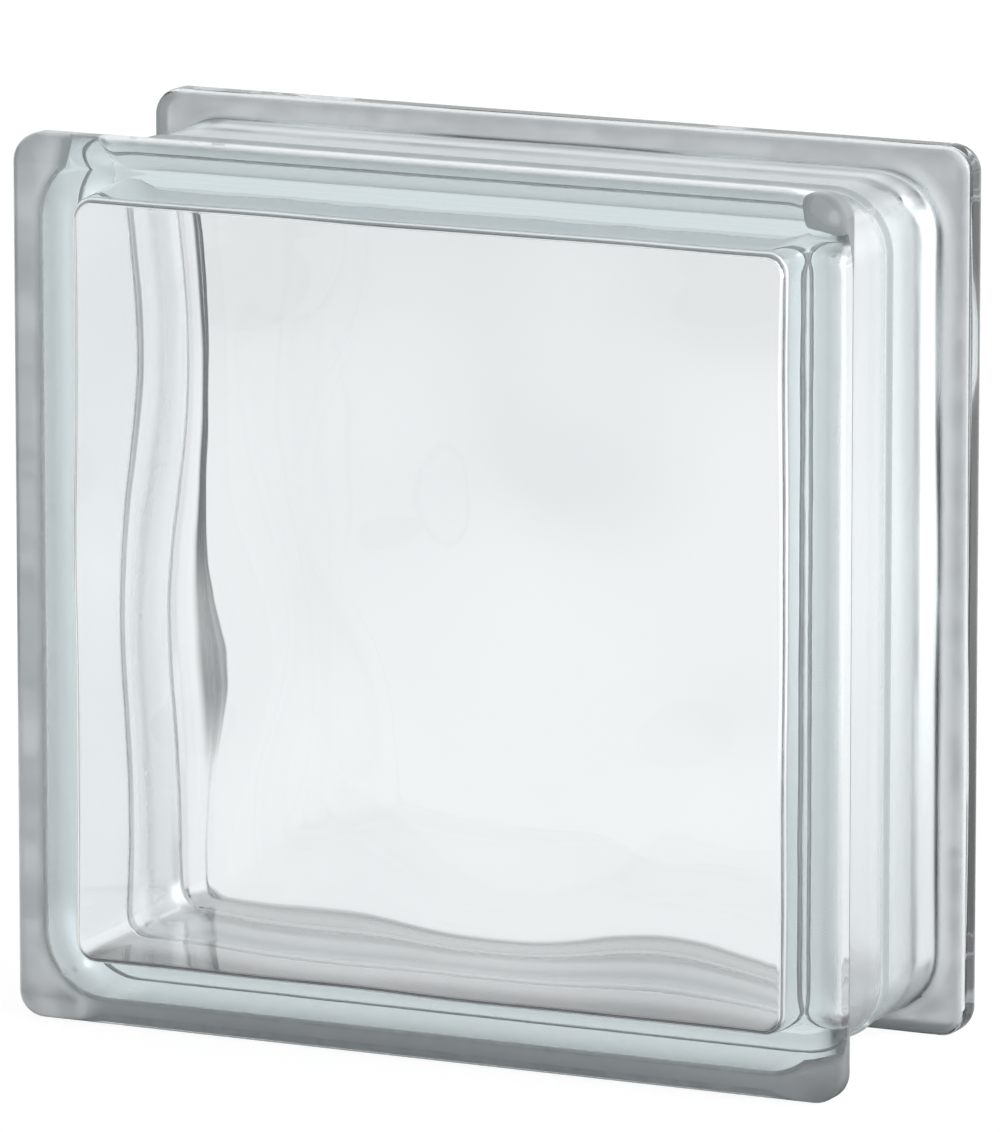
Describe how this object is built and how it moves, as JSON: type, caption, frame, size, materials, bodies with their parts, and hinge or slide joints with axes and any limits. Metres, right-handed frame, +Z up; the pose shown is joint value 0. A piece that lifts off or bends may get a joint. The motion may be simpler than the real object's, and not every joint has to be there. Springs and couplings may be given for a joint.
{
  "type": "glass block",
  "caption": "Square hollow block of clear pressed glass with wavy inner faces, raised rims and a mortar groove round its sides, laid in walls that let light through.",
  "frame": {"origin": "on the floor under the middle of the block, as it stands on its lower rims", "axes": "+Z up, +X along the width to the right seen from the front, the front face looks along -Y"},
  "size_m": [0.19, 0.08, 0.19],
  "materials": {
    "glass": "clear and glossy with a faint blue-green tint, panes smooth outside and wavy inside, satin sides in the groove"
  },
  "bodies": {
    "root": {"glass_block": "glass"}
  },
  "joints": []
}
